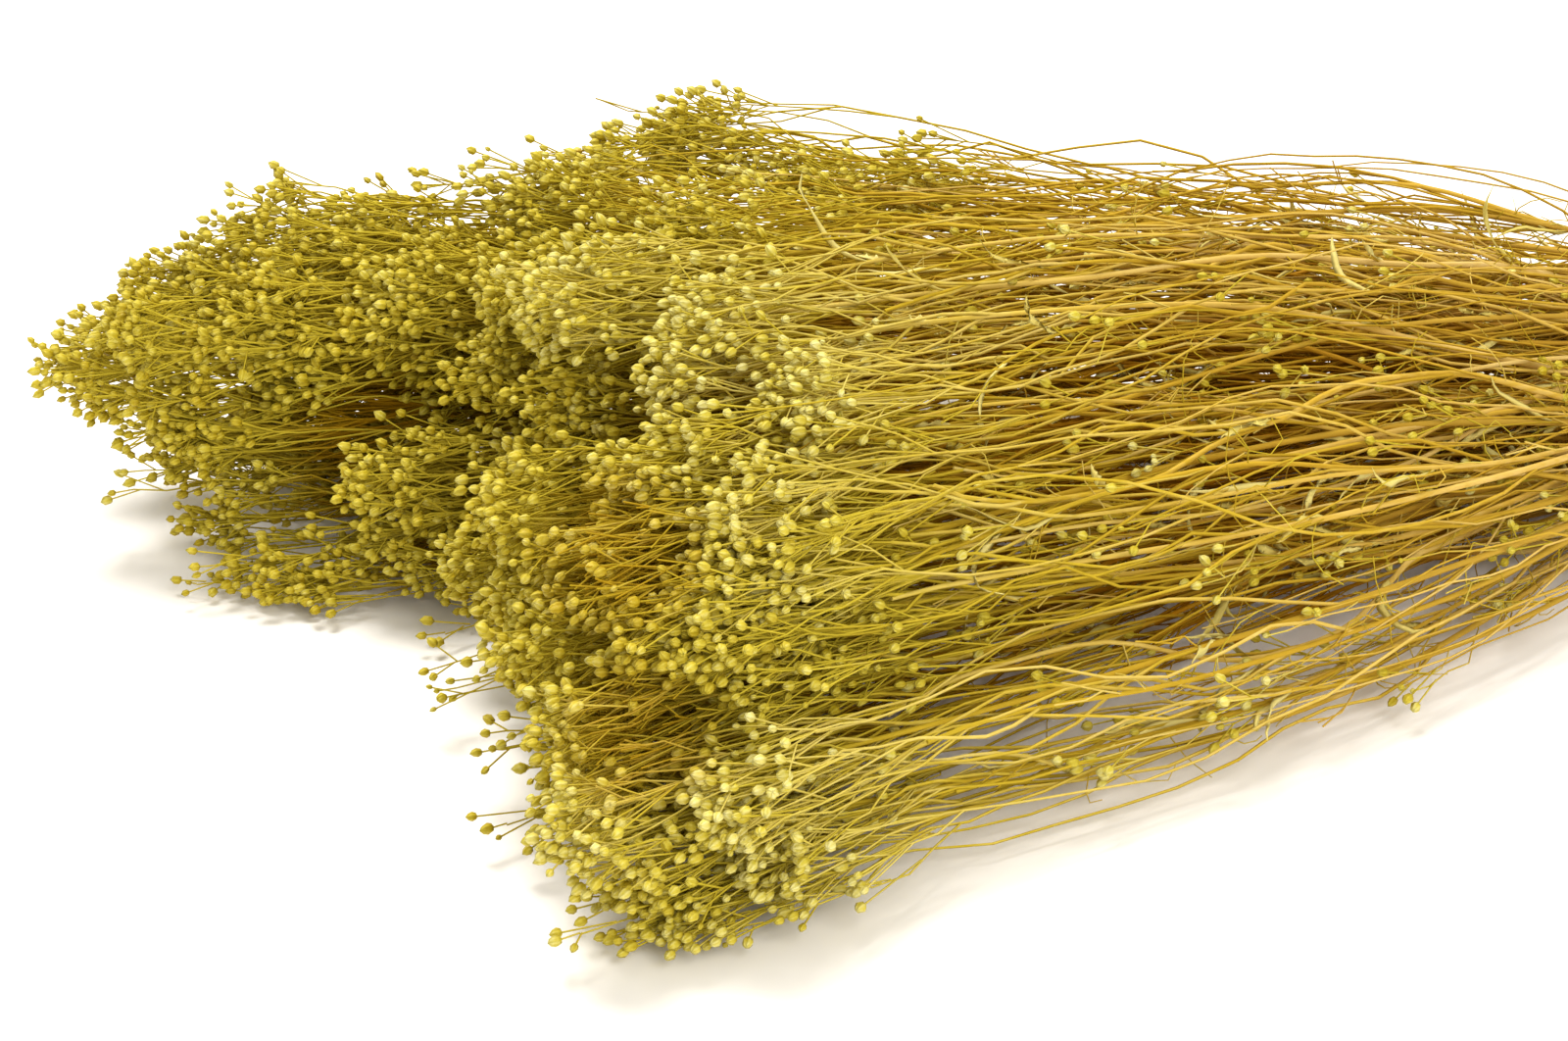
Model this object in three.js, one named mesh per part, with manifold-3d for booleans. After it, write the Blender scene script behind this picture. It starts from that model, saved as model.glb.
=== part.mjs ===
import * as THREE from "three";
import { mergeVertices } from "three/addons/utils/BufferGeometryUtils.js";
import Module from "manifold-3d";

// A tied bunch of dried broom bloom, lying down. Millimetres, +Z up.
// The origin is on the underside of the tie, the stalks run along X, the heads lie towards -X,
// and the cut ends stick out towards +X.

// The stalks in the tie
const STALK = 1.2; // radius of a stalk
const PITCH = 3; // from one stalk to the next, in the tie
const TAIL = 88; // from the tie to the cut ends
const TAIL_SPLAY = 0.4; // how much the cut ends spread, as a share of their place in the tie

// The tie, a rubber band wound three times
const TURNS = 3;
const TURN_WIDTH = 3;
const BAND = 1.2; // thickness
const GROOVE = 0.4; // depth between two turns
const GAP = 0.35; // between the band and the stalks

// How the bunch opens out, as distances from the tie
const FLARE = 110; // sideways
const FULL = 420; // where the heads have their full spread

// The heads, a column for each column of stalks in the tie, from the near side to the far one.
// Each column gives its lowest, middle and highest head: across, up and reach from the tie.
// A stem has risen half of its way at the distance "rise". The near ones stay low for longer.
const COLUMNS = [
  { stems: 3, across: [-110, -108, -100], up: [6, 25, 46], reach: [434, 438, 420], rise: 250 },
  { stems: 4, across: [-78, -92, -88], up: [8, 34, 58], reach: [438, 436, 424], rise: 250 },
  { stems: 5, across: [-56, -68, -68], up: [6, 36, 66], reach: [428, 435, 420], rise: 250 },
  { stems: 4, across: [-30, -46, -38], up: [12, 42, 72], reach: [426, 436, 404], rise: 250 },
  { stems: 5, across: [2, -12, -8], up: [6, 40, 72], reach: [428, 428, 416], rise: 220 },
  { stems: 4, across: [34, 24, 20], up: [6, 40, 70], reach: [474, 430, 424], rise: 180 },
  { stems: 5, across: [62, 62, 56], up: [8, 41, 61], reach: [468, 489, 462], rise: 200 },
  { stems: 4, across: [90, 88, 82], up: [14, 43, 62], reach: [468, 490, 454], rise: 220 },
  { stems: 3, across: [118, 128, 132], up: [18, 38, 60], reach: [404, 388, 372], rise: 220 },
];
const STRAY = { across: 7, up: 5, reach: 18, tail: 24 }; // how far one stem strays from the rule

// A spray: a slim core that thickens towards the head, with twigs that each end in a bud
const CORE_SIDES = 5;
const CORE_RINGS = [-5, 6, 34, 68, 115, 190, 290, 390]; // distances from the tie
const CORE_TIP = 12; // the last ring lies at least this far short of the reach
const CORE = 1.9; // radius in the head
const CORE_START = 0.4; // where it begins to thicken, as a share of the reach
const TWIGS = 10;
const TWIG = 0.5; // radius
const TWIG_SIDES = 3;
const TWIG_FIRST = 0.5; // where the lowest twig roots, as a share of the reach
const TWIG_LAST = 0.985;
const TWIG_LONG = 62;
const TWIG_SHORT = 15;
const TWIG_OUT = [0.15, 0.36]; // sideways lean, as a share of the length
const BUD = 1.1; // radius of the belly
const BUD_LONG = 2.8;
const STRAIGHT = 38; // a twig shorter than this has no bend
const CLEAR = 0.55; // between two sprays
const TRIES = 16;
const STRIDE = 2; // between the points where clearance is tested

// A dried leaf
const LEAF_EVERY = 3; // stems from one with a leaf to the next
const LEAF = { long: 22, wide: 2.6, thick: 0.75, at: 0.48, curl: 9 };

const X = new THREE.Vector3(1, 0, 0);
const Z = new THREE.Vector3(0, 0, 1);
const GOLDEN = 0.6180339887;
const PLASTIC = 0.7548776662;

const wasm = await Module();
wasm.setup();

function material(color, roughness) {
  return new THREE.MeshStandardMaterial({ color, roughness, metalness: 0 });
}

// An even scatter from 0 to 1, the same for the same stem and use
function scatter(stem, use) {
  return (stem * GOLDEN + use * PLASTIC) % 1;
}

function random(seed) {
  let state = seed;
  return () => {
    state = (state + 0x6d2b79f5) | 0;
    let t = Math.imul(state ^ (state >>> 15), 1 | state);
    t = (t + Math.imul(t ^ (t >>> 7), 61 | t)) ^ t;
    return ((t ^ (t >>> 14)) >>> 0) / 4294967296;
  };
}

// The curve through a low, a middle and a high value
function bow(t, [low, middle, high]) {
  return low * (1 - t) * (1 - 2 * t) + 4 * middle * t * (1 - t) + high * t * (2 * t - 1);
}

function flare(x) {
  return Math.sqrt(x * x + FLARE * FLARE) - FLARE;
}

function settle(x, rise) {
  return (x * x) / (x * x + rise * rise);
}

function makeStems() {
  const tallest = Math.max(...COLUMNS.map((column) => column.stems));
  const floor = BAND + GAP + STALK;
  const stems = [];
  COLUMNS.forEach((column, c) => {
    for (let k = 0; k < column.stems; k++) {
      const id = stems.length;
      const t = k / (column.stems - 1);
      const lift = k === 0 ? 0 : STRAY.up * (scatter(id, 2) - 0.5);
      stems.push({
        id,
        y: (c - (COLUMNS.length - 1) / 2) * PITCH * Math.sqrt(0.75),
        z: floor + (k + (tallest - column.stems) / 2) * PITCH,
        across: bow(t, column.across) + STRAY.across * (scatter(id, 1) - 0.5),
        up: bow(t, column.up) + lift,
        reach: bow(t, column.reach) + STRAY.reach * (scatter(id, 3) - 0.5),
        tail: TAIL - STRAY.tail * scatter(id, 4),
        rise: column.rise,
      });
    }
  });
  return stems;
}

// The stem's middle line, by the distance from the tie, which is negative in the tail
function onStem(stem, x) {
  if (x < 0) {
    const splay = TAIL_SPLAY * (x / TAIL) ** 2;
    const floor = BAND + GAP + STALK;
    return new THREE.Vector3(-x, stem.y * (1 + splay), stem.z + (stem.z - floor) * splay);
  }
  const across = flare(x) / flare(FULL);
  const up = settle(x, stem.rise) / settle(FULL, stem.rise);
  return new THREE.Vector3(
    -x,
    stem.y + (stem.across - stem.y) * across,
    stem.z + (stem.up - stem.z) * up,
  );
}

// A closed body round a route. The profile gives radius and share of the route, from axis to
// axis, and the section may be wider across than it is thick.
function along(route, profile, sides, wide = 1, thick = 1, phase = 0) {
  const points = profile.map(([radius, share]) => new THREE.Vector2(radius, share));
  const geometry = new THREE.LatheGeometry(points, sides, phase);
  const place = geometry.attributes.position;
  const local = new THREE.Vector3();
  for (let i = 0; i < place.count; i++) {
    local.fromBufferAttribute(place, i);
    const share = local.y;
    const ahead = route(Math.min(share + 0.01, 1)).sub(route(Math.max(share - 0.01, 0)));
    const side = new THREE.Vector3().crossVectors(Z, ahead).normalize();
    const over = new THREE.Vector3().crossVectors(side, ahead).normalize();
    const point = route(share)
      .addScaledVector(side, local.x * wide)
      .addScaledVector(over, local.z * thick);
    place.setXYZ(i, point.x, point.y, point.z);
  }
  return geometry;
}

function welded(geometry) {
  geometry.deleteAttribute("normal");
  geometry.deleteAttribute("uv");
  const merged = mergeVertices(geometry, 1e-5);
  const index = merged.index.array;
  const kept = [];
  for (let i = 0; i < index.length; i += 3) {
    const [a, b, c] = [index[i], index[i + 1], index[i + 2]];
    if (a !== b && b !== c && c !== a) {
      kept.push(a, b, c);
    }
  }
  merged.setIndex(kept);
  return merged;
}

function solid(geometry) {
  const closed = welded(geometry);
  return new wasm.Manifold(new wasm.Mesh({
    numProp: 3,
    vertProperties: new Float32Array(closed.attributes.position.array),
    triVerts: new Uint32Array(closed.index.array),
  }));
}

function surface(body) {
  const mesh = body.getMesh();
  const geometry = new THREE.BufferGeometry();
  geometry.setAttribute("position", new THREE.BufferAttribute(mesh.vertProperties, 3));
  geometry.setIndex(new THREE.BufferAttribute(mesh.triVerts, 1));
  geometry.computeVertexNormals();
  return geometry;
}

function coreRadius(share) {
  const swell = THREE.MathUtils.smoothstep(share, CORE_START, 0.85);
  const taper = 1 - 0.7 * THREE.MathUtils.smoothstep(share, 0.85, 1);
  return (STALK + (CORE - STALK) * swell) * taper;
}

function makeCore(stem) {
  const length = stem.tail + stem.reach;
  const route = (share) => onStem(stem, share * length - stem.tail);
  const rings = CORE_RINGS.filter((x) => x < stem.reach - CORE_TIP);
  const profile = rings.map((x) => [coreRadius(x / stem.reach), (stem.tail + x) / length]);
  return along(route, [[0, 0], [STALK, 0], ...profile, [0, 1]], CORE_SIDES);
}

// Points along a route with the radius that each takes up
function marksOf(route, length, radius, end) {
  const count = Math.ceil(length / STRIDE);
  const marks = [];
  for (let i = 0; i <= count; i++) {
    marks.push({ place: route(i / count), radius });
  }
  marks.push({ place: route(1 - 0.45 * BUD_LONG / length), radius: end });
  return marks;
}

function clash(marks, others) {
  return marks.some((mark) => mark.place.z < mark.radius || others.some((other) => {
    const reach = mark.radius + other.radius + CLEAR;
    return Math.abs(mark.place.x - other.place.x) < reach
      && mark.place.distanceToSquared(other.place) < reach * reach;
  }));
}

// A twig leaves the core, bends back along it and ends in a bud
function makeTwig(stem, share, angle, length, lean) {
  const x = share * stem.reach;
  const root = onStem(stem, x);
  const ahead = onStem(stem, x + 1).sub(root).normalize();
  const side = new THREE.Vector3().crossVectors(Z, ahead).normalize();
  const over = new THREE.Vector3().crossVectors(ahead, side);
  const out = side.multiplyScalar(Math.cos(angle)).addScaledVector(over, Math.sin(angle));
  const curve = new THREE.QuadraticBezierCurve3(
    root,
    root.clone().addScaledVector(ahead, 0.45 * length).addScaledVector(out, 0.72 * lean * length),
    root.clone().addScaledVector(ahead, length).addScaledVector(out, lean * length),
  );
  return { route: (t) => curve.getPoint(t), length: length * Math.hypot(1, lean) };
}

function twigBody(twig) {
  const bud = BUD_LONG / twig.length;
  const bend = twig.length > STRAIGHT ? [[TWIG, 0.5]] : [];
  const neck = [TWIG * 0.8, 1 - bud];
  const profile = [[0, 0], [TWIG, 0.01], ...bend, neck, [BUD, 1 - 0.55 * bud], [0, 1]];
  return along(twig.route, profile, TWIG_SIDES);
}

function growTwigs(stem, others) {
  const draw = random(1000 + stem.id);
  const twigs = [];
  for (let k = 0; k < TWIGS; k++) {
    const share = THREE.MathUtils.lerp(TWIG_FIRST, TWIG_LAST, Math.sqrt((k + 0.5) / TWIGS));
    const long = THREE.MathUtils.lerp(TWIG_LONG, TWIG_SHORT, (k + 0.5) / TWIGS);
    for (let attempt = 0; attempt < TRIES; attempt++) {
      const angle = 2 * Math.PI * (k * GOLDEN + 0.25 * attempt * (draw() - 0.5));
      const length = long * (0.85 + 0.3 * draw());
      const lean = THREE.MathUtils.lerp(...TWIG_OUT, draw()) * (1 - 0.03 * attempt);
      const twig = makeTwig(stem, share, angle, length, lean);
      const marks = marksOf(twig.route, twig.length, TWIG, BUD);
      if (!clash(marks, others)) {
        twigs.push({ ...twig, marks });
        break;
      }
    }
  }
  return twigs;
}

// A narrow dried leaf that curls up and back from the stalk
function makeLeaf(stem) {
  const root = onStem(stem, LEAF.at * stem.reach);
  const lean = 2 * Math.PI * scatter(stem.id, 5);
  const away = new THREE.Vector3(-0.8, 0.35 * Math.cos(lean), 0.5).normalize();
  const curve = new THREE.QuadraticBezierCurve3(
    root,
    root.clone().addScaledVector(away, 0.6 * LEAF.long),
    root.clone().addScaledVector(away, LEAF.long).addScaledVector(X, LEAF.curl),
  );
  return { route: (t) => curve.getPoint(t), length: LEAF.long };
}

function leafBody(leaf) {
  const profile = [[0, 0], [0.35, 0.02], [1, 0.45], [0.3, 0.98], [0, 1]];
  const half = Math.SQRT1_2;
  return along(leaf.route, profile, 4, LEAF.wide * half, LEAF.thick * half, Math.PI / 4);
}

function joined(bodies) {
  const union = bodies.map(solid).reduce((whole, body) => whole.add(body));
  const pieces = union.decompose();
  return pieces.reduce((a, b) => (b.volume() > a.volume() ? b : a));
}

// The corners of the outline round the stalks in the tie, each with the way that it faces
function hullCorners(stems) {
  const centres = stems.map((stem) => new THREE.Vector2(stem.y, stem.z));
  centres.sort((a, b) => a.x - b.x || a.y - b.y);
  const turn = (o, a, b) => (a.x - o.x) * (b.y - o.y) - (a.y - o.y) * (b.x - o.x);
  const chain = (points) => points.reduce((hull, point) => {
    while (hull.length > 1 && turn(hull.at(-2), hull.at(-1), point) <= 1e-6) {
      hull.pop();
    }
    return [...hull, point];
  }, []);
  const lower = chain(centres);
  const upper = chain([...centres].reverse());
  const hull = [...lower.slice(0, -1), ...upper.slice(0, -1)];
  return hull.flatMap((centre, i) => {
    const before = hull.at(i - 1);
    const after = hull[(i + 1) % hull.length];
    const normals = [centre.clone().sub(before), after.clone().sub(centre)].map(
      (edge) => new THREE.Vector2(edge.y, -edge.x).normalize(),
    );
    return normals.map((normal) => ({ centre, normal }));
  });
}

// The band goes round the stalks as a closed ring, its section raised in three turns
function makeBand(stems) {
  const corners = hullCorners(stems);
  const half = (TURNS * TURN_WIDTH) / 2;
  const section = [new THREE.Vector2(1, half), new THREE.Vector2(1, -half)];
  for (let turn = 0; turn < TURNS; turn++) {
    const start = turn * TURN_WIDTH - half;
    section.push(new THREE.Vector2(1 + BAND - GROOVE, start + 0.02 * turn));
    section.push(new THREE.Vector2(1 + BAND, start + 0.3 * TURN_WIDTH));
    section.push(new THREE.Vector2(1 + BAND, start + 0.7 * TURN_WIDTH));
  }
  section.push(new THREE.Vector2(1 + BAND - GROOVE, half));
  section.push(section[0].clone());
  const geometry = new THREE.LatheGeometry(section, corners.length);
  const place = geometry.attributes.position;
  for (let i = 0; i < place.count; i++) {
    const corner = corners[Math.floor(i / section.length) % corners.length];
    const point = section[i % section.length];
    const out = STALK + GAP + point.x - 1;
    const flat = corner.centre.clone().addScaledVector(corner.normal, out);
    place.setXYZ(i, point.y, flat.x, flat.y);
  }
  return solid(geometry);
}

function named(name, geometry, colour, roughness) {
  const mesh = new THREE.Mesh(geometry, material(colour, roughness));
  mesh.name = name;
  return mesh;
}

const bunch = new THREE.Group();
const stems = makeStems();
for (const stem of stems) {
  stem.core = makeCore(stem);
  const route = (share) => onStem(stem, share * stem.reach);
  stem.marks = marksOf(route, stem.reach, CORE, CORE);
}
for (const stem of stems) {
  const others = stems.filter((other) => other !== stem).flatMap((other) => other.marks);
  const bodies = [stem.core];
  if (stem.id % LEAF_EVERY === 0) {
    const leaf = makeLeaf(stem);
    const marks = marksOf(leaf.route, leaf.length, LEAF.wide / 2, LEAF.wide / 2);
    if (!clash(marks, others)) {
      bodies.push(leafBody(leaf));
      stem.marks.push(...marks);
    }
  }
  for (const twig of growTwigs(stem, others)) {
    bodies.push(twigBody(twig));
    stem.marks.push(...twig.marks);
  }
  const name = `spray_${String(stem.id + 1).padStart(2, "0")}`;
  bunch.add(named(name, surface(joined(bodies)), 0xb9a04a, 0.8));
}
bunch.add(named("tie_band", surface(makeBand(stems)), 0xc49a5a, 0.6));

export default bunch;
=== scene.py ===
# %% [markdown]
# A tied bunch of dried broom bloom
#
# Broom bloom is sold dried, as a bunch of golden stalks that fork again and again into hair-thin
# twigs, with round seed buds that measure about two millimetres. The bunch lies on its side. Its
# solids come packed, at their real size, and this script loads them as a fixed frame. The looks
# are grown around them: one dense spray for each solid, and the rubber band of the tie.

# %% Load the frame
import math

import bpy
import numpy as np
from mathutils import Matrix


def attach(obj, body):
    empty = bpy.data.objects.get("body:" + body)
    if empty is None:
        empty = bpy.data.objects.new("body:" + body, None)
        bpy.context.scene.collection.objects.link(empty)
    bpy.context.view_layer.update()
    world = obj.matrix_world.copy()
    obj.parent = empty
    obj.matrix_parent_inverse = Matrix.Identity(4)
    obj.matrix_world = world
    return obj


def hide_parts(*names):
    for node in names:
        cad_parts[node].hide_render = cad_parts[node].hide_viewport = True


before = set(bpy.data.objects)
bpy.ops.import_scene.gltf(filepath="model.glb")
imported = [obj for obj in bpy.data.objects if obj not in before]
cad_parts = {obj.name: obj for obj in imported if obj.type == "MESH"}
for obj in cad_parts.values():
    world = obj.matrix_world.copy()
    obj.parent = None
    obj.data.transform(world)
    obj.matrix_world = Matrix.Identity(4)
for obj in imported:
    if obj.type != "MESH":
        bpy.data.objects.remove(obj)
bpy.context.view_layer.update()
MM = 0.001


def add_object(name, data):
    made = bpy.data.objects.new(name, data)
    bpy.context.scene.collection.objects.link(made)
    return made


print("nodes in the frame:", len(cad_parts))

# %% [markdown]
# The camera comes first, because it settles what shows. The photo looks down on the bunch from
# in front and from the side of the heads, from about 70 cm, so near buds look larger than far
# ones. The bunch runs out of the picture on the right, and the tie lies past that edge.

# %% Camera
VIEW_AZIMUTH = math.radians(-21)
VIEW_ELEVATION = math.radians(25)
VIEW_DISTANCE = 700 * MM
VIEW_TARGET = (-347.2 * MM, 44.2 * MM, -2.6 * MM)
VIEW_LENS = 73.7
SENSOR = 36
NEAREST = 10 * MM


def add_camera():
    data = bpy.data.cameras.new("camera")
    data.lens = VIEW_LENS
    data.sensor_width = SENSOR
    data.clip_start = NEAREST
    camera = add_object("camera", data)
    back = np.array([
        math.sin(VIEW_AZIMUTH) * math.cos(VIEW_ELEVATION),
        -math.cos(VIEW_AZIMUTH) * math.cos(VIEW_ELEVATION),
        math.sin(VIEW_ELEVATION),
    ])
    camera.location = np.array(VIEW_TARGET) + back * VIEW_DISTANCE
    camera.rotation_euler = (math.pi / 2 - VIEW_ELEVATION, 0, VIEW_AZIMUTH)
    bpy.context.scene.camera = camera
    return camera


camera = add_camera()
print("camera at", [round(v, 3) for v in camera.location])

# %% [markdown]
# A photo of a product on white is lit by a broad soft light from above and behind. A weaker one
# in front and a pale room all round open the shadows. The floor is bright enough to burn out to
# white, and only the shadow under the near side of the bunch keeps some tone.

# %% Light, room and floor
WORLD_COLOUR = (1.0, 0.97, 0.91)
WORLD_STRENGTH = 0.64
FLOOR_COLOUR = (0.93, 0.91, 0.88)
FLOOR_ROUGHNESS = 0.9
FLOOR_SIDE = 8.0
HEADS = (-0.33, 0.0, 0.03)
KEY = {"place": (-0.55, 0.55, 1.5), "size": 0.8, "power": 31, "colour": (1.0, 0.975, 0.94)}
FILL = {"place": (-0.2, -1.4, 1.0), "size": 1.3, "power": 20, "colour": (1.0, 0.98, 0.95)}


def add_area(name, place, aim, size, power, colour):
    data = bpy.data.lights.new(name, "AREA")
    data.shape = "DISK"
    data.size = size
    data.energy = power
    data.color = colour
    lamp = add_object(name, data)
    away = np.array(place) - np.array(aim)
    lamp.location = place
    lamp.rotation_euler = (
        math.atan2(math.hypot(away[0], away[1]), away[2]),
        0,
        math.atan2(away[0], -away[1]),
    )
    return lamp


def add_room():
    world = bpy.data.worlds.new("room")
    world.use_nodes = True
    background = world.node_tree.nodes["Background"]
    background.inputs["Color"].default_value = (*WORLD_COLOUR, 1)
    background.inputs["Strength"].default_value = WORLD_STRENGTH
    bpy.context.scene.world = world


def add_floor():
    half = FLOOR_SIDE / 2
    mesh = bpy.data.meshes.new("floor")
    corners = [(-half, -half, 0), (half, -half, 0), (half, half, 0), (-half, half, 0)]
    mesh.from_pydata(corners, [], [(0, 1, 2, 3)])
    material = bpy.data.materials.new("white_table")
    material.use_nodes = True
    shader = material.node_tree.nodes["Principled BSDF"]
    shader.inputs["Base Color"].default_value = (*FLOOR_COLOUR, 1)
    shader.inputs["Roughness"].default_value = FLOOR_ROUGHNESS
    mesh.materials.append(material)
    floor = add_object("floor", mesh)


add_room()
add_floor()
add_area("soft_key", aim=HEADS, **KEY)
add_area("front_fill", aim=HEADS, **FILL)
bpy.context.scene.view_settings.view_transform = "Standard"

# %% [markdown]
# The stalks stand close together in the tie, in short columns, and open out from it towards the
# heads. The same few sizes give the place of every stalk here as in its solid, so each spray that
# is grown below lies where its solid lies. A row of COLUMNS says how many stalks stand in that
# column, then where its lowest, middle and highest ones end: how far across, how high and how far
# along. Its last number is the length over which they rise. No two of them end in line, so scatter
# gives every stem a steady number from 0 to 1 for each use, and that moves it a little. Sizes from
# here on are in millimetres, and they turn into metres only where a mesh is made.

# %% Where each stalk lies
STALK = 1.2
PITCH = 3.0
TAIL = 88.0
BAND = 1.2
GAP = 0.35
COLUMNS = [
    (3, (-110, -108, -100), (6, 25, 46), (434, 438, 420), 250),
    (4, (-78, -92, -88), (8, 34, 58), (438, 436, 424), 250),
    (5, (-56, -68, -68), (6, 36, 66), (428, 435, 420), 250),
    (4, (-30, -46, -38), (12, 42, 72), (426, 436, 404), 250),
    (5, (2, -12, -8), (6, 40, 72), (428, 428, 416), 220),
    (4, (34, 24, 20), (6, 40, 70), (474, 430, 424), 180),
    (5, (62, 62, 56), (8, 41, 61), (468, 489, 462), 200),
    (4, (90, 88, 82), (14, 43, 62), (468, 490, 454), 220),
    (3, (118, 128, 132), (18, 38, 60), (404, 388, 372), 220),
]
STRAY_ACROSS = 7.0
STRAY_UP = 5.0
STRAY_REACH = 18.0
STRAY_TAIL = 24.0
GOLDEN = 0.6180339887
PLASTIC = 0.7548776662
USES = {
    "across": 1, "up": 2, "reach": 3, "tail": 4, "tone": 6, "girth": 7, "spin": 8, "lobe": 9,
    "back": 20, "turns": 30, "phase": 32,
}


def scatter(stem, use, k=0):
    return (stem * GOLDEN + (USES[use] + k) * PLASTIC) % 1


def bow(t, ends):
    low, middle, high = ends
    return low * (1 - t) * (1 - 2 * t) + 4 * middle * t * (1 - t) + high * t * (2 * t - 1)


def make_stems():
    tallest = max(column[0] for column in COLUMNS)
    floor = BAND + GAP + STALK
    stems = []
    for c, (count, across, up, reach, rise) in enumerate(COLUMNS):
        for k in range(count):
            i = len(stems)
            t = k / (count - 1)
            stems.append({
                "id": i,
                "y": (c - (len(COLUMNS) - 1) / 2) * PITCH * math.sqrt(0.75),
                "z": floor + (k + (tallest - count) / 2) * PITCH,
                "across": bow(t, across) + STRAY_ACROSS * (scatter(i, "across") - 0.5),
                "up": bow(t, up) + (STRAY_UP * (scatter(i, "up") - 0.5) if k else 0),
                "reach": bow(t, reach) + STRAY_REACH * (scatter(i, "reach") - 0.5),
                "tail": TAIL - STRAY_TAIL * scatter(i, "tail"),
                "rise": rise,
            })
    return stems


stems = make_stems()
TALLEST = max(stem["up"] for stem in stems)
WIDEST = max(abs(stem["across"]) for stem in stems)
print("stems:", len(stems), "heads reach", round(max(s["reach"] for s in stems)), "mm")

# %% [markdown]
# From its place in the tie the middle line of a stalk flares out sideways, slowly at first and
# then at a steady rate, and it rises or sinks on the way to its height in the head. On the other
# side of the tie the cut ends splay a little. A whole stem is then known from one distance.

# %% The middle line of a stalk
TAIL_SPLAY = 0.4
FLARE = 110.0
FULL = 420.0


def on_stem(stem, x):
    x = np.asarray(x, float)
    flare = (np.sqrt(x * x + FLARE ** 2) - FLARE) / (math.hypot(FULL, FLARE) - FLARE)
    rise = stem["rise"]
    settle = (x * x) / (x * x + rise ** 2) * (1 + (rise / FULL) ** 2)
    splay = TAIL_SPLAY * (x / TAIL) ** 2
    floor = BAND + GAP + STALK
    head = x >= 0
    y = np.where(head, stem["y"] + (stem["across"] - stem["y"]) * flare, stem["y"] * (1 + splay))
    z_head = stem["z"] + (stem["up"] - stem["z"]) * settle
    z = np.where(head, z_head, stem["z"] + (stem["z"] - floor) * splay)
    return np.stack([-x, y, z], axis=-1)


print("the first stem ends at", np.round(on_stem(stems[0], stems[0]["reach"])), "mm")

# %% [markdown]
# A spray is grown as a skeleton first: chains of points for the stalk, its limbs, the twigs and
# the bud stalks. Each point has its radius, a tint that says how far it is on the way from stalk
# to bud, the tone of its branch, and the size of its bud if it carries one. A node tree turns all
# this into tubes and buds later, which is far less work than to model each twig.

# %% A skeleton and how a chain is added to it
KINDS = {"stalk": 0, "limb": 1, "branch": 2, "twig": 3, "leaf": 4}


class Skeleton:
    def __init__(self):
        self.points = []
        self.edges = []
        self.values = {name: [] for name in ("radius", "tint", "tone", "kind", "bud", "twist")}
        self.aims = []

    def add(self, points, radii, tints, tone, kind, bud=0.0, twist=0.0):
        first = len(self.points)
        count = len(points)
        self.points.extend(points)
        self.edges.extend((first + i, first + i + 1) for i in range(count - 1))
        self.values["radius"].extend(np.broadcast_to(radii, count))
        self.values["tint"].extend(np.broadcast_to(tints, count))
        self.values["tone"].extend([tone] * count)
        self.values["kind"].extend([KINDS[kind]] * count)
        self.values["bud"].extend([0.0] * (count - 1) + [bud])
        self.values["twist"].extend(np.linspace(0, twist, count))
        self.aims.extend([points[-1] - points[-2]] * count)


print("chains are sorted by kind:", KINDS)

# %% [markdown]
# All chains are laid out round the middle line of their stem, as a distance along it and an
# offset from it, so they bend with it. A real stem is never ruled straight, so each one drifts off
# that line and is back on it where its head begins. The outermost stems of the near side hold
# together more closely than the rest and bulge a little towards the camera. What would sink into
# the table is eased up onto it.

# %% Where the points of a chain lie
FLOOR_SOFT = 9.0
DRIFT = (9.0, 3.5)
DRIFT_TURNS = (0.7, 1.5)
DRIFT_SHORT = 50.0
NEAR_EDGE = -95.0
NEAR_EASE = 0.45
NEAR_BULGE = 9.0


def frames(stem, x):
    ahead = on_stem(stem, np.asarray(x) + 1) - on_stem(stem, np.asarray(x) - 1)
    ahead /= np.linalg.norm(ahead, axis=-1, keepdims=True)
    side = np.cross([0, 0, 1], ahead)
    side /= np.linalg.norm(side, axis=-1, keepdims=True)
    return side, np.cross(ahead, side)


def rest_on_floor(points, clear):
    low = points[:, 2] - clear
    eased = FLOOR_SOFT * np.exp(np.minimum(low / FLOOR_SOFT, 1) - 1)
    points[:, 2] = np.where(low < FLOOR_SOFT, eased, low) + clear
    return points


def looseness(stem):
    return NEAR_EASE if stem["across"] < NEAR_EDGE else 1.0


def drift(stem, x):
    share = np.clip(np.asarray(x) / (stem["reach"] - DRIFT_SHORT), 0, 1)
    size = looseness(stem) * np.sin(math.pi * share) ** 1.5
    low, high = DRIFT_TURNS
    parts = []
    for k, far in enumerate(DRIFT):
        turns = low + (high - low) * scatter(stem["id"], "turns", k)
        phase = scatter(stem["id"], "phase", k)
        parts.append(far * size * np.sin(2 * math.pi * (turns * share + phase)))
    if stem["across"] < NEAR_EDGE:
        parts[0] = parts[0] + NEAR_BULGE * np.sin(math.pi * np.clip(2 * share - 1, 0, 1))
    return np.stack(parts, axis=-1)


def place(stem, x, offset, clear):
    side, over = frames(stem, x)
    offset = offset + drift(stem, x)
    points = on_stem(stem, x) + side * offset[:, :1] + over * offset[:, 1:]
    return rest_on_floor(points, clear)


print("stems that hold together closely:", sum(stem["across"] < NEAR_EDGE for stem in stems))

# %% [markdown]
# Broom grows by forking. A stalk gives off a few long limbs low down, these give off thinner
# branches, and each leaves at an open angle and soon runs alongside. So one function makes every
# fork: it starts on its parent, ends at a given place in the head, and sways a little between.
# The colour follows the same way: a stem turns from gold to green as it nears its buds.

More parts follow.
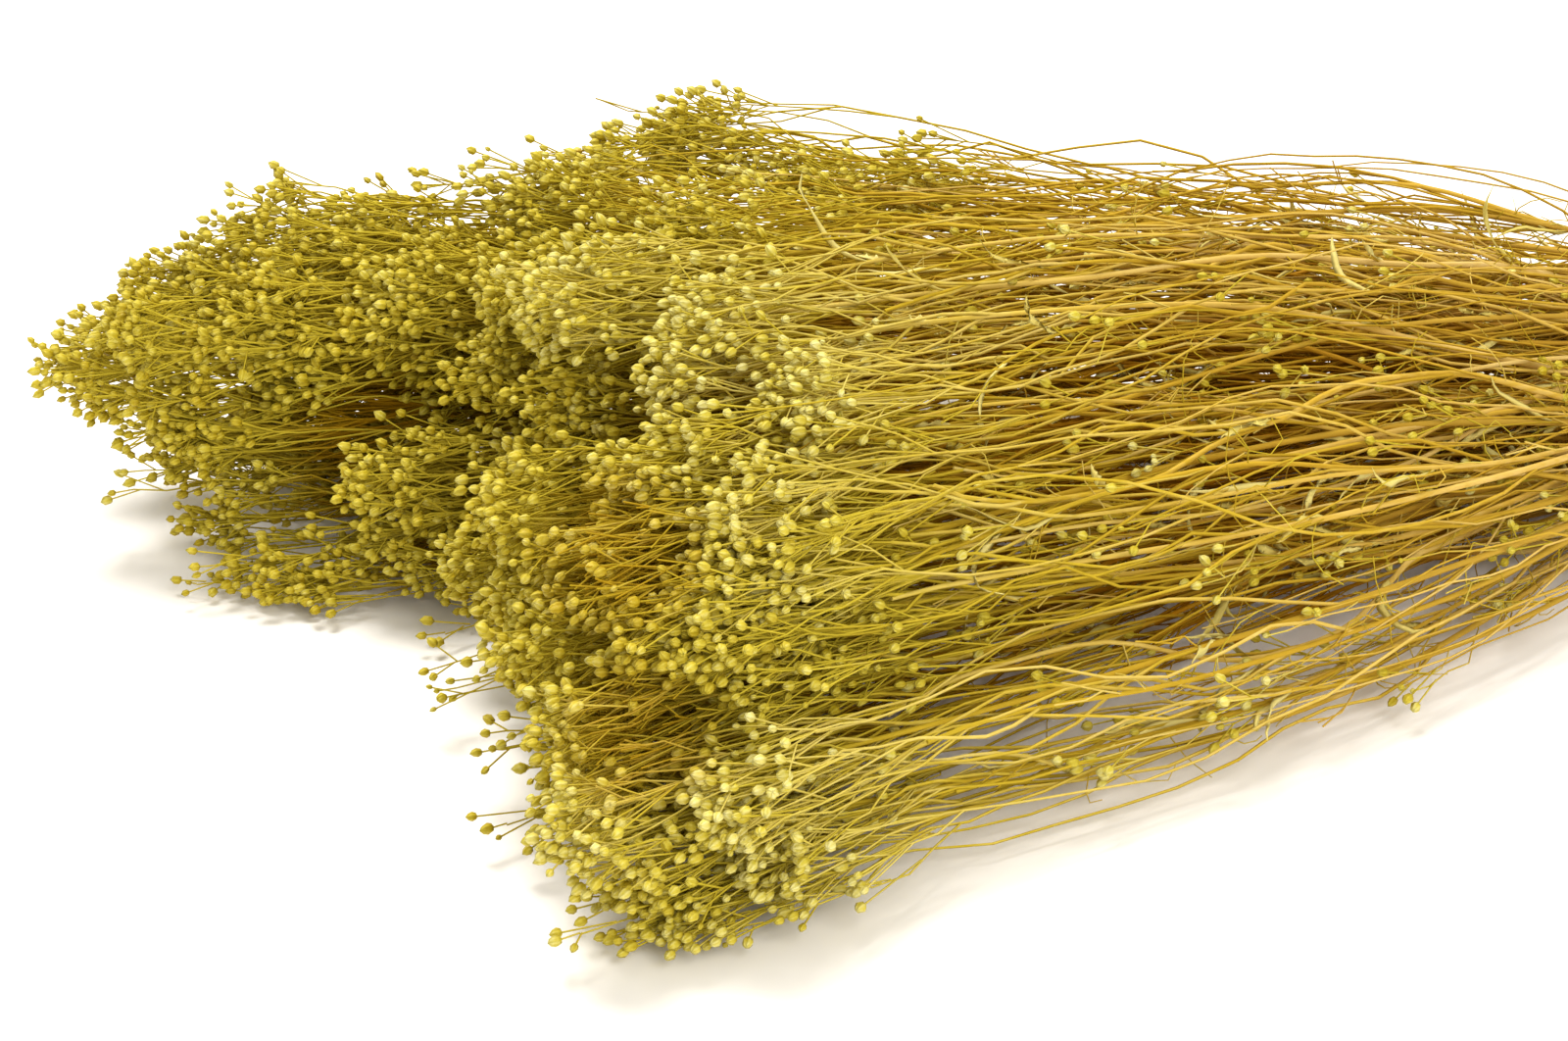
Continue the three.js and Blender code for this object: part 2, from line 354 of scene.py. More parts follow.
# %% How one limb forks from another
OPENING = 1.9
WAVES = (1, 2, 3, 5, 9)
WAVE_SIZE = 1.6
WAVE_PACE = (0.8, 1.2)
WIDEST_WANDER = 1.6
GREEN_FROM = 0.35
GREEN_OVER = 0.62


def unit(angle):
    return np.array([math.cos(angle), math.sin(angle)])


def any_way(draw):
    return unit(draw.uniform(0, 2 * math.pi))


def wander(draw, t):
    path = np.zeros((len(t), 2))
    for k in WAVES:
        phase = draw.uniform(0, 2 * math.pi, 2)
        turns = 0.5 * k * draw.uniform(*WAVE_PACE)
        wave = np.sin(2 * math.pi * turns * t[:, None] + phase)
        path += draw.uniform(-WAVE_SIZE, WAVE_SIZE, 2) / k * wave
    return WIDEST_WANDER * np.tanh(path / WIDEST_WANDER)


def sway(draw, t, size):
    return size * wander(draw, t) * np.sin(math.pi * t)[:, None] ** 0.6


def offset_at(limb, x):
    return np.array([np.interp(x, limb["x"], limb["path"][:, k]) for k in range(2)])


def fork(draw, parent, start, end, target, points, size):
    t = np.linspace(0, 1, points)
    base = offset_at(parent, start)
    path = base + np.outer(1 - (1 - t) ** OPENING, target - base) + sway(draw, t, size)
    return {"x": start + (end - start) * t, "path": path}


def greening(stem, x, start):
    share = np.clip((np.asarray(x) / stem["reach"] - GREEN_FROM) / GREEN_OVER, 0, 1)
    return start + (1 - start) * share ** 2


print("a fork opens with the power", OPENING)

# %% [markdown]
# The head of a spray isn't one brush. It is a few small domes, here called lobes, one at the end
# of each long limb. They end at different lengths, so from outside each rim of buds stands out
# against the bare stems of the next. Buds sit near the surface of the dome and not inside it.

# %% The lobes of a head
LOBES = 3
LOBE_BACK = (0, 8, 18, 12)
LOBE_STRAY = (0, 8, 14, 20)
LOBE_RING = (3, 9, 9, 13)
FAR_SIDE = 50.0
FAR_DEPTH = 0.8
FULLER = 40.0
TOP_SINK = 6.0
TOP_SIDE = (40.0, 110.0)


def far_side(stem):
    return float(np.clip(stem["across"] / FAR_SIDE, 0, 1))


def lobe_count(stem):
    return LOBES + (stem["across"] > 0 and stem["up"] > FULLER)


def lobe_of(stem, j):
    turn = scatter(stem["id"], "lobe") + j / LOBES
    back = LOBE_BACK[j] + LOBE_STRAY[j] * scatter(stem["id"], "back", j)
    back *= 1 + FAR_DEPTH * far_side(stem)
    centre = LOBE_RING[j] * unit(2 * math.pi * turn)
    low, high = TOP_SIDE
    centre[1] -= TOP_SINK * (stem["up"] > FULLER and low < stem["across"] < high)
    return {"tip": stem["reach"] - back, "centre": centre}


print("lobes in the bunch:", sum(lobe_count(stem) for stem in stems))

# %% [markdown]
# Each branch gets a share of paleness, and this is painted light and painted shade: most on the
# highest and the outermost sprays and on top of each lobe, as light falls from above, and least
# towards the far side, which lies in shade and is painted a deeper gold. Each pair of numbers says
# from which share of the greatest height or width a spray begins to pale, and over how much more it
# turns quite pale. The result becomes the tone of the branch, mixed with a little chance.

# %% How pale a branch is
PALE_HEIGHT = (0.72, 0.26)
PALE_EDGE = (0.6, 0.38)
PALE_LEAST = 0.1
CROWN = 28.0
FAR_SHADE_SHARE = 0.6
FAR_SHADE_FROM = -30.0


# Painted light on high, outer sprays and on lobe tops, and painted shade on the far side.
def painted_light_share(stem, spot):
    height = (stem["up"] / TALLEST - PALE_HEIGHT[0]) / PALE_HEIGHT[1]
    edge = (abs(stem["across"]) / WIDEST - PALE_EDGE[0]) / PALE_EDGE[1]
    far_shade = FAR_SHADE_SHARE * np.clip((stem["across"] - FAR_SHADE_FROM) / FAR_SIDE, 0, 1)
    pale = np.clip(max(height, edge, PALE_LEAST) + spot[1] / CROWN, 0, 1)
    return float(pale * (1 - far_shade))


middles = [round(painted_light_share(stem, (0, 0)), 2) for stem in stems]
print("paleness from", min(middles), "to", max(middles))

# %% [markdown]
# The stalk runs from its cut end through the tie and on to the first lobe, and long limbs fork
# from it towards the others. It tapers, has slight knots, and sways where it's free: more with
# the distance from the tie, and less again near the head. Its cut face is paler than its skin.

# %% The stalk and its limbs
NECK = 42.0
FORK_AT = (0, 0.06, 0.34, 0.2)
FORK_STRAY = 0.14
STALK_AT = (0, 60, 150, 300, 420)
STALK_RADII = (1.12, 1.0, 0.84, 0.58, 0.42)
STALK_FROM = 20.0
STALK_POINTS = 36
STALK_SWAY = 9.5
FREE_FROM = 170.0
STEADY = 0.6
TAIL_SPAN = (-58, 6)
TAIL_POINTS = 10
TAIL_SWAY = 0.8
RIM = 0.7
CUT_TINT = -0.2
KNOTS = 0.09
GIRTH = (0.8, 0.25)
LIMB_RADII = (0.72, 0.38)
LIMB_SWAY = 9.5
LIMB_POINTS = 30
LIMB_TINT = 0.12


def girth(stem):
    least, more = GIRTH
    return least + more * scatter(stem["id"], "girth")


def grow_stalk(skeleton, stem, draw, lobe):
    cut = [-stem["tail"], RIM - stem["tail"]]
    head = np.linspace(STALK_FROM, lobe["tip"] - NECK, STALK_POINTS)
    x = np.concatenate([cut, np.linspace(*TAIL_SPAN, TAIL_POINTS), head])
    share = np.clip(x / x[-1], 0, 1)
    free = np.clip(x / FREE_FROM, 0, 1) ** 1.3 * (1 - STEADY * share)
    path = looseness(stem) * STALK_SWAY * free[:, None] * wander(draw, share)
    path = path + np.outer(share ** 2, lobe["centre"])
    path = path + TAIL_SWAY * np.clip(-x / TAIL, 0, 1)[:, None] ** 1.5 * wander(draw, -x / TAIL)
    stalk = {"x": x, "path": path}
    knots = 1 + KNOTS * draw.uniform(-1, 1, len(x))
    radii = np.interp(x, STALK_AT, STALK_RADII) * girth(stem) * knots
    radii[:2] = radii[1]
    tints = greening(stem, x, 0.0)
    tints[0] = CUT_TINT
    points = place(stem, x, stalk["path"], 0.0)
    skeleton.add(points, radii, tints, scatter(stem["id"], "tone"), "stalk")
    return stalk


def grow_limb(skeleton, stem, draw, stalk, lobe, j):
    start = stem["reach"] * (FORK_AT[j] + FORK_STRAY * draw.uniform())
    end = lobe["tip"] - NECK
    size = looseness(stem) * LIMB_SWAY
    limb = fork(draw, stalk, start, end, lobe["centre"], LIMB_POINTS, size)
    radii = np.linspace(*LIMB_RADII, LIMB_POINTS) * girth(stem)
    points = place(stem, limb["x"], limb["path"], LIMB_RADII[0])
    skeleton.add(points, radii, greening(stem, limb["x"], LIMB_TINT), draw.uniform(), "limb")
    return limb


print("limbs in the bunch:", sum(lobe_count(stem) - 1 for stem in stems))

# %% [markdown]
# Each twig ends in a cluster of short bud stalks. They leave it at different heights and end on
# nearly one level, as in a flat-topped flower head. Most buds are full-grown or nearly so, and a
# few have stayed small.

# %% Twigs and buds
TWIG_LENGTH = (14, 36)
TWIG_RADII = (0.26, 0.19)
TWIG_TINT = 0.5
TWIG_SWAY = 1.2
TWIG_POINTS = 4
BUD_STALK = (12.0, 8.0)
BUD_STALK_RADIUS = 0.2
BUD_STALK_TINTS = (0.9, 1.0)
BUD_SPREAD = (0.9, 4.2)
BUD_FIRST = 0.4
BUD_LIFT = 0.6
BUD_LEVEL = 4.0
BUD_RADIUS = 1.0
FAR_WIDER = 1.03
BUD_SIZES = (0.55, 0.75, 0.88, 1.0, 1.1)
BUD_SHARES = (0.08, 0.14, 0.26, 0.32, 0.20)
TWIG_TONE = 0.65
BUD_TONE = 0.35


def grow_buds(skeleton, stem, draw, twig, count, tone):
    end = twig["x"][-1]
    turn = draw.uniform()
    for k in range(count):
        start = end - draw.uniform(0, BUD_STALK[stem["across"] > 0]) * (k > 0)
        base = offset_at(twig, start)
        low, high = BUD_SPREAD
        spread = low + (high - low) * math.sqrt(draw.uniform()) if k else BUD_FIRST
        spot = twig["path"][-1] + spread * unit(2 * math.pi * (turn + k * GOLDEN))
        x = np.array([start, end + BUD_LIFT + BUD_LEVEL * draw.uniform()])
        size = BUD_RADIUS * draw.choice(BUD_SIZES, p=BUD_SHARES)
        size *= FAR_WIDER if stem["across"] > 0 else 1
        points = place(stem, x, np.array([base, spot]), size)
        # A bud stalk takes most of its tone from its branch, painted light and shade included.
        own = TWIG_TONE * tone + BUD_TONE * draw.uniform()
        skeleton.add(points, BUD_STALK_RADIUS, BUD_STALK_TINTS, own, "twig", bud=size)


def grow_twig(skeleton, stem, draw, branch, end, spot, count, tone):
    start = min(end - draw.uniform(*TWIG_LENGTH), branch["x"][-1])
    twig = fork(draw, branch, start, end, spot, TWIG_POINTS, TWIG_SWAY)
    points = place(stem, twig["x"], twig["path"], TWIG_RADII[0])
    radii = np.linspace(*TWIG_RADII, TWIG_POINTS)
    skeleton.add(points, radii, greening(stem, twig["x"], TWIG_TINT), tone, "twig")
    grow_buds(skeleton, stem, draw, twig, count, tone)


print("mean size of a bud:", round(2 * BUD_RADIUS * np.dot(BUD_SIZES, BUD_SHARES), 2), "mm")

# %% [markdown]
# Each limb gives off branches below its lobe, and each branch gives off twigs. The depth at which
# a twig ends follows the dome, so a lobe is round from every side. The sprays of the far side are
# fuller and longer plumed, and the ones that lie on the table there are thinner.

# %% Branches and whole lobes
BRANCHES = 6
FAR_BRANCHES = 3
BRANCH_NEAR = 44.0
BRANCH_FAR = 230.0
BRANCH_SHORT = 15.0
BRANCH_RADII = (0.46, 0.26)
BRANCH_SWAY = (0.5, 0.044)
BRANCH_POINTS = 6
BRANCH_STEP = 20.0
BRANCH_CLEAR = 12.0
BRANCH_TINT = 0.3
PAINTED_LIGHT_TONE = 0.72
CHANCE_TONE = 0.28
TWIGS = 4
TWIG_SPREAD = 6.0
TWIG_DROP = 2.2
BUDS = (4, 7)
FAR_BUDS = 1
VERY_FAR = 40.0
STRAY_BUDS = 3
LOBE_RADIUS = 11.5
LOBE_DOME = 13.0
LOBE_FILL = 0.75
FAR_PLUME = 30.0
LOW_STEM = 12.5
LOW_FEWER = 3


def grow_branch(skeleton, stem, draw, limb, lobe, start, spot, lead=0.0, twigs=TWIGS):
    def depth(place_in_head):
        out = np.linalg.norm(place_in_head - lobe["centre"]) / LOBE_RADIUS
        return lobe["tip"] + lead - LOBE_DOME * min(out * out, 2)

    end = depth(spot) - BRANCH_SHORT
    count = BRANCH_POINTS + int((end - start) / BRANCH_STEP)
    size = BRANCH_SWAY[0] + BRANCH_SWAY[1] * (end - start)
    branch = fork(draw, limb, start, end, spot, count, size)
    # A branch's tone is its painted light and shade, mixed with a little chance.
    tone = PAINTED_LIGHT_TONE * painted_light_share(stem, spot) + CHANCE_TONE * draw.uniform()
    radii = np.linspace(*BRANCH_RADII, count)
    points = place(stem, branch["x"], branch["path"], BRANCH_RADII[0])
    skeleton.add(points, radii, greening(stem, branch["x"], BRANCH_TINT), tone, "branch")
    turn = draw.uniform()
    for k in range(twigs):
        away = TWIG_SPREAD * math.sqrt((k + draw.uniform()) / twigs)
        target = spot + away * unit(2 * math.pi * (turn + k * GOLDEN))
        end = depth(target) - draw.exponential(TWIG_DROP)
        more = FAR_BUDS * ((stem["across"] > 0) + (stem["across"] > VERY_FAR))
        count = draw.integers(*BUDS) + more if lead <= 0 else STRAY_BUDS
        grow_twig(skeleton, stem, draw, branch, end, target, count, tone)


def grow_lobe(skeleton, stem, draw, limb, lobe):
    sparse = stem["up"] < LOW_STEM and stem["across"] > 0
    branches = BRANCHES + FAR_BRANCHES * (stem["across"] > 0)
    for k in range(branches - LOW_FEWER * sparse):
        share = (branches - k - draw.uniform()) / branches
        start = lobe["tip"] - BRANCH_NEAR - (BRANCH_FAR - BRANCH_NEAR) * share ** 2
        start = max(start, limb["x"][0] + BRANCH_CLEAR, STALK_FROM)
        out = math.sqrt((branches - k - 0.5 * draw.uniform()) / branches)
        way = unit(2 * math.pi * (k * GOLDEN + scatter(stem["id"], "spin")))
        spot = lobe["centre"] + LOBE_FILL * LOBE_RADIUS * out * way
        lag = -FAR_PLUME * draw.uniform() ** 2 * far_side(stem)
        grow_branch(skeleton, stem, draw, limb, lobe, start + 0.5 * lag, spot, lead=lag)


print("buds a near spray, about", LOBES * BRANCHES * TWIGS * (sum(BUDS) - 1) // 2)

# %% [markdown]
# A grown thing is never trimmed to shape. Here and there a branch overshoots its lobe with a few
# loose buds, most of all where the lowest stems lie on the table, and short side twigs carry
# small clusters further down. Spurs are side twigs that have lost their buds.

# %% Stray branches and side twigs
NEAR_STRAYS = 2
STRAY_LEAD = (5, 13)
STRAY_FROM = (50, 90)
STRAY_OUT = (0.5, 1.1)
STRAY_TWIGS = 2
LOW_STRAYS = 3
LOW_LEAD = (8, 22)
SIDE_TWIGS = 9
SIDE_TWIG_AT = (60, 385)
SIDE_TWIG_LENGTH = (12, 30)
SIDE_TWIG_OUT = (3, 9)
SIDE_TINT = 0.6
SIDE_BUDS = (1, 7)
SPURS = 14
SPUR_AT = (20, 370)
SPUR_LENGTH = (8, 24)
SPUR_SPREAD = (2, 9)
SPUR_TINT = (0.2, 0.9)
HAIRS = (1, 4)
HAIR_OUT = (1, 5)
HAIR_LENGTH = (3, 10)


def grow_stray(skeleton, stem, draw, limb, lobe, lead):
    start = lobe["tip"] - draw.uniform(*STRAY_FROM)
    spot = lobe["centre"] + LOBE_RADIUS * draw.uniform(*STRAY_OUT) * any_way(draw)
    grow_branch(skeleton, stem, draw, limb, lobe, start, spot, lead=lead, twigs=STRAY_TWIGS)


def grow_side_twig(skeleton, stem, draw, limb):
    first, last = SIDE_TWIG_AT
    start = max(first + (last - first) * math.sqrt(draw.uniform()), limb["x"][0] + 5)
    end = start + draw.uniform(*SIDE_TWIG_LENGTH)
    spot = offset_at(limb, start) + draw.uniform(*SIDE_TWIG_OUT) * any_way(draw)
    twig = fork(draw, limb, start, end, spot, TWIG_POINTS, TWIG_SWAY)
    points = place(stem, twig["x"], twig["path"], TWIG_RADII[0])
    skeleton.add(points, TWIG_RADII[1], greening(stem, twig["x"], SIDE_TINT), draw.uniform(), "twig")
    grow_buds(skeleton, stem, draw, twig, draw.integers(*SIDE_BUDS), draw.uniform())


def grow_spur(skeleton, stem, draw, limb):
    start = max(draw.uniform(*SPUR_AT), limb["x"][0] + 3)
    end = start + draw.uniform(*SPUR_LENGTH)
    spot = offset_at(limb, start) + draw.uniform(*SPUR_SPREAD) * any_way(draw)
    spur = fork(draw, limb, start, end, spot, TWIG_POINTS, TWIG_SWAY)
    tint = draw.uniform(*SPUR_TINT)
    tone = draw.uniform()
    points = place(stem, spur["x"], spur["path"], TWIG_RADII[0])
    skeleton.add(points, TWIG_RADII[1], tint, tone, "twig")
    for _ in range(draw.integers(*HAIRS)):
        start = draw.uniform(spur["x"][1], end)
        tip = spot + draw.uniform(*HAIR_OUT) * any_way(draw)
        x = np.array([start, start + draw.uniform(*HAIR_LENGTH)])
        points = place(stem, x, np.array([offset_at(spur, start), tip]), BUD_STALK_RADIUS)
        skeleton.add(points, BUD_STALK_RADIUS, tint, tone, "twig")


print("side twigs in the bunch:", SIDE_TWIGS * len(stems))

# %% [markdown]
# Among the limbs run threads: fine stems that leave a stalk low down, cross over to a neighbour
# and carry a few late buds. They close the bunch where the limbs alone would leave it open.

# %% Threads
THREADS = 9
FAR_THREADS = 13
THREAD_FROM = (-10, 190)
THREAD_LENGTH = (90, 210)
THREAD_RADII = (0.34, 0.2)
THREAD_SPREAD = 22.0
THREAD_SWAY = 5.0
THREAD_POINTS = 5
THREAD_STEP = 13.0
THREAD_TINT = 0.25
THREAD_SHORT = 25.0
THREAD_BUDDED = 0.6
THREAD_BUDS = (1, 5)


def thread_count(stem):
    return THREADS + FAR_THREADS * (stem["across"] > 0)


def grow_thread(skeleton, stem, draw, limb):
    start = max(draw.uniform(*THREAD_FROM), limb["x"][0] + 2)
    end = min(start + draw.uniform(*THREAD_LENGTH), stem["reach"] - THREAD_SHORT)
    spread = looseness(stem) * THREAD_SPREAD * end / FULL * math.sqrt(draw.uniform())
    spot = offset_at(limb, end) + spread * any_way(draw)
    count = THREAD_POINTS + int((end - start) / THREAD_STEP)
    thread = fork(draw, limb, start, end, spot, count, THREAD_SWAY)
    points = place(stem, thread["x"], thread["path"], THREAD_RADII[0])
    radii = np.linspace(*THREAD_RADII, count)
    tone = draw.uniform()
    skeleton.add(points, radii, greening(stem, thread["x"], THREAD_TINT), tone, "twig")
    if draw.uniform() < THREAD_BUDDED:
        grow_buds(skeleton, stem, draw, thread, draw.integers(*THREAD_BUDS), tone)


print("threads in the bunch:", sum(thread_count(stem) for stem in stems))

# %% [markdown]
# Lower down the stalks carry what the buds leave bare: narrow leaves, dried to twisted ribbons,
# and the hair-thin remains of others, curled like tendrils. Both are drawn by one rule: a line
# leans away from its stem and turns steadily on, as a leaf does that dries on one face first.

# %% Leaves and tendrils
LEAVES = 16
LEAF_AT = (20, 350)
LEAF_LENGTH = (8, 26)
LEAF_HALF = (0.45, 1.05)
LEAF_LEAN = (0.0, 0.45)
LEAF_CURL = (-1.3, 1.8)
LEAF_POINTS = 10
LEAF_TWIST = 9.0
LEAF_CLEAR = 0.6
TENDRILS = 60
TENDRIL_LENGTH = (4, 22)
TENDRIL_RADII = (0.19, 0.12)
TENDRIL_LEAN = (0.3, 1.6)
TENDRIL_CURL = (-3.0, 3.6)
TENDRIL_TINT = (0.5, 1.0)
TENDRIL_POINTS = 5
ASIDE = 0.3
CURL_SWAY = 0.08


def curled(draw, limb, length, lean, curl, points):
    start = max(draw.uniform(*LEAF_AT), limb["x"][0])
    t = np.linspace(0, 1, points)
    heading = lean + curl * t ** 1.4
    step = length / (points - 1)
    ahead = np.cumsum(step * np.cos(heading)) - step * math.cos(lean)
    away = np.cumsum(step * np.sin(heading)) - step * math.sin(lean)
    turn = draw.uniform(0, 2 * math.pi)
    aside = draw.uniform(-ASIDE, ASIDE) * length * t ** 2
    path = offset_at(limb, start) + np.outer(away, unit(turn))
    path = path + np.outer(aside, unit(turn + math.pi / 2))
    path = path + CURL_SWAY * length * t[:, None] * wander(draw, t)
    return start + ahead, path, t


def grow_leaf(skeleton, stem, draw, limb):
    length = draw.uniform(*LEAF_LENGTH)
    lean = draw.uniform(*LEAF_LEAN)
    curl = draw.uniform(*LEAF_CURL)
    x, path, t = curled(draw, limb, length, lean, curl, LEAF_POINTS)
    half = draw.uniform(*LEAF_HALF) * np.sin(math.pi * (0.06 + 0.91 * t)) ** 0.8
    half = half * (1 + 0.25 * wander(draw, t)[:, 0])
    points = place(stem, x, path, LEAF_CLEAR)
    twist = draw.uniform(-LEAF_TWIST, LEAF_TWIST)
    skeleton.add(points, half, draw.uniform(), draw.uniform(), "leaf", twist=twist)


def grow_tendril(skeleton, stem, draw, limb):
    length = draw.uniform(*TENDRIL_LENGTH)
    lean = draw.uniform(*TENDRIL_LEAN)
    curl = draw.uniform(*TENDRIL_CURL)
    x, path, _ = curled(draw, limb, length, lean, curl, TENDRIL_POINTS)
    points = place(stem, x, path, TENDRIL_RADII[0])
    radii = np.linspace(*TENDRIL_RADII, TENDRIL_POINTS)
    skeleton.add(points, radii, draw.uniform(*TENDRIL_TINT), draw.uniform(), "twig")


print("leaves in the bunch:", LEAVES * len(stems), "and tendrils:", TENDRILS * len(stems))

# %% [markdown]
# One spray is all of this on one stem. Each has its own seed, so it's the same in every run, and a
# change to one spray leaves the others as they are. The high sprays of the far side carry one
# more lobe than the rest.

# %% One whole spray
FIRST_SEED = 700


def grow_spray(stem):
    skeleton = Skeleton()
    draw = np.random.default_rng(FIRST_SEED + stem["id"])
    lobes = [lobe_of(stem, j) for j in range(lobe_count(stem))]
    limbs = [grow_stalk(skeleton, stem, draw, lobes[0])]
    for j, lobe in enumerate(lobes[1:], start=1):
        limbs.append(grow_limb(skeleton, stem, draw, limbs[0], lobe, j))
    for limb, lobe in zip(limbs, lobes):
        grow_lobe(skeleton, stem, draw, limb, lobe)
    for j in range(NEAR_STRAYS * (stem["across"] < 0)):
        grow_stray(skeleton, stem, draw, limbs[j], lobes[j], draw.uniform(*STRAY_LEAD))
    if stem["up"] < LOW_STEM:
        for _ in range(LOW_STRAYS):
            grow_stray(skeleton, stem, draw, limbs[0], lobes[0], draw.uniform(*LOW_LEAD))
    for k in range(thread_count(stem)):
        grow_thread(skeleton, stem, draw, limbs[k % LOBES])
    for k in range(SIDE_TWIGS):
        grow_side_twig(skeleton, stem, draw, limbs[k % LOBES])
    for k in range(SPURS):
        grow_spur(skeleton, stem, draw, limbs[k % LOBES])
    for k in range(LEAVES):
        grow_leaf(skeleton, stem, draw, limbs[k % LOBES])
    for k in range(TENDRILS):
        grow_tendril(skeleton, stem, draw, limbs[k % LOBES])
    return skeleton


print("each spray grows from a seed of its own, from", FIRST_SEED, "on")

# %% [markdown]
# Inside the bunch buds have dropped, and the stems there are painted a deep gold: painted shade,
# where the sprays round them keep the light off. How far inside a point lies is measured from four
# sides, above, the heads' end, near and far, and the least counts: it's the distance behind the
# outermost points in the same cell of a grid. On the near side buds have also fallen from two
# hollows in the head, where the stems are painted darker as shade in a recess. Both are cleared
# along the view, and not every branch near a rim loses its buds, so the edge of a hollow stays
# ragged.

# %% What lies inside, and the two hollows
CELL = 9.0
INSIDE = 23.0
OUTER = 0.88
HIDDEN = 0.45
SIDES = ((2, 1), (0, -1), (1, -1), (1, 1))
HOLLOWS = (
    ((-415.5, -50.0, 43.0), 17.0),
    ((-420.7, -75.0, 21.8), 15.0),
)
HOLLOW_WAY = (-0.27, -0.86, 0.44)
HOLLOW_EDGE = 0.5
HOLLOW_SHADE = 0.8
HOLLOW_LEAST = 0.36
HOLLOW_CHANCES = 7


def behind(points, axis, way):
    across = [k for k in range(3) if k != axis]
    cells = np.floor(points[:, across] / CELL).astype(int)
    cells -= cells.min(axis=0)
    cell = cells[:, 0] * (cells[:, 1].max() + 1) + cells[:, 1]
    out = way * points[:, axis]
    order = np.lexsort((out, cell))
    counts = np.bincount(cell)
    outermost = np.cumsum(counts) - 1 - ((1 - OUTER) * counts).astype(int)
    edge = out[order][np.maximum(outermost, 0)]
    return edge[cell] - out


def in_hollow(points, tones):
    way = np.array(HOLLOW_WAY) / np.linalg.norm(HOLLOW_WAY)
    deepest = np.zeros(len(points))
    for middle, radius in HOLLOWS:
        away = points - np.array(middle)
        out = np.linalg.norm(away - np.outer(away @ way, way), axis=1)
        deepest = np.maximum(deepest, np.clip((1 - out / radius) / HOLLOW_EDGE, 0, 1))
    chance = HOLLOW_CHANCES * tones % 1
    return deepest * (HOLLOW_LEAST + (1 - HOLLOW_LEAST) * chance)


def mark_inside(skeletons):
    points = np.array([p for skeleton in skeletons for p in skeleton.points])
    tones = np.array([t for skeleton in skeletons for t in skeleton.values["tone"]])
    sides = [behind(points, *side) for side in SIDES]
    inside = np.clip(np.min(sides, axis=0) / INSIDE, 0, 1)
    hollow = in_hollow(points, tones)
    bare = np.maximum(inside, hollow) >= HIDDEN
    # Stems in a hollow get painted shade too, a little less deep than inside the bunch.
    inside = np.maximum(inside, HOLLOW_SHADE * hollow)
    first = 0
    for skeleton in skeletons:
        own = slice(first, first + len(skeleton.points))
        skeleton.values["inside"] = list(inside[own])
        skeleton.values["bud"] = list(np.where(bare[own], 0, skeleton.values["bud"]))
        first = own.stop


print("hollows in the near head:", len(HOLLOWS))

# %% [markdown]
# Now all the sprays grow. The inside is marked once for the whole bunch, because what is hidden
# depends on the neighbours too, and the buds that no light reached are taken off.

# %% Grow all the sprays
skeletons = [grow_spray(stem) for stem in stems]
buds_grown = sum(np.count_nonzero(s.values["bud"]) for s in skeletons)
mark_inside(skeletons)
buds_kept = sum(np.count_nonzero(s.values["bud"]) for s in skeletons)
print("buds grown:", buds_grown, "of which kept:", buds_kept)
print("points in all skeletons:", sum(len(s.points) for s in skeletons))

# %% [markdown]
# The skin of the plant is dry and dull. The stalks are straw gold and turn yellow-green towards the
# buds, each branch a little different from the next. The colour runs along the stem in the attribute
# "tint", and "tone" tells one branch from another: by chance, and for the branches of the heads also
# by the painted light and shade of their place. Everything is calculated from such attributes and
# from noise in the object's own space, so it needs no image. The helpers come first. The same few
# serve the materials and the node tree of the shapes: one adds a node with its settings and inputs,
# and one adds up values by their shares.

# %% Helpers for node trees
def add_node(tree, kind, inputs=None, **settings):
    node = tree.nodes.new(kind)
    for name, value in settings.items():
        setattr(node, name, value)
    for name, value in (inputs or {}).items():
        if isinstance(value, bpy.types.NodeSocket):
            tree.links.new(value, node.inputs[name])
        else:
            node.inputs[name].default_value = value
    return node


def calculate(tree, operation, *values):
    node = add_node(tree, "ShaderNodeMath", dict(enumerate(values)), operation=operation)
    return node.outputs[0]


def weighed(tree, *parts):
    total = 0.0
    for value, share in parts:
        total = calculate(tree, "MULTIPLY_ADD", value, share, total)
    return total


print("helpers:", add_node.__name__, calculate.__name__, weighed.__name__)

# %% [markdown]
# A material here is a colour and a fine relief. Colours are mixed and looked up on ramps, because
# dried plants change their colour gradually, and the relief is only a bump, far finer than the
# mesh. Noise that is stretched along the bunch gives fibres and veins.

# %% Helpers for materials
RELIEF = 0.2 * MM


def mixed(tree, blend, factor, a, b):
    parts = {"Factor": factor, "A": a, "B": b}
    node = add_node(tree, "ShaderNodeMix", parts, data_type="RGBA", blend_type=blend)
    return node.outputs["Result"]


def attribute(tree, name, output="Fac"):
    return add_node(tree, "ShaderNodeAttribute", attribute_name=name).outputs[output]


def ramp(tree, value, stops):
    node = add_node(tree, "ShaderNodeValToRGB", {"Fac": value})
    elements = node.color_ramp.elements
    while len(elements) < len(stops):
        elements.new(0.5)
    for element, (at, colour) in zip(elements, stops):
        element.position = at
        element.color = (*colour, 1)
    return node.outputs["Color"]


def noise(tree, scale, stretch=(1, 1, 1), detail=2.0):
    spot = add_node(tree, "ShaderNodeTexCoord").outputs["Object"]
    mapping = add_node(tree, "ShaderNodeMapping", {"Vector": spot, "Scale": stretch})
    inputs = {"Vector": mapping.outputs["Vector"], "Scale": scale, "Detail": detail}
    return add_node(tree, "ShaderNodeTexNoise", inputs).outputs["Fac"]


def new_material(name):
    material = bpy.data.materials.new(name)
    material.use_nodes = True
    return material, material.node_tree


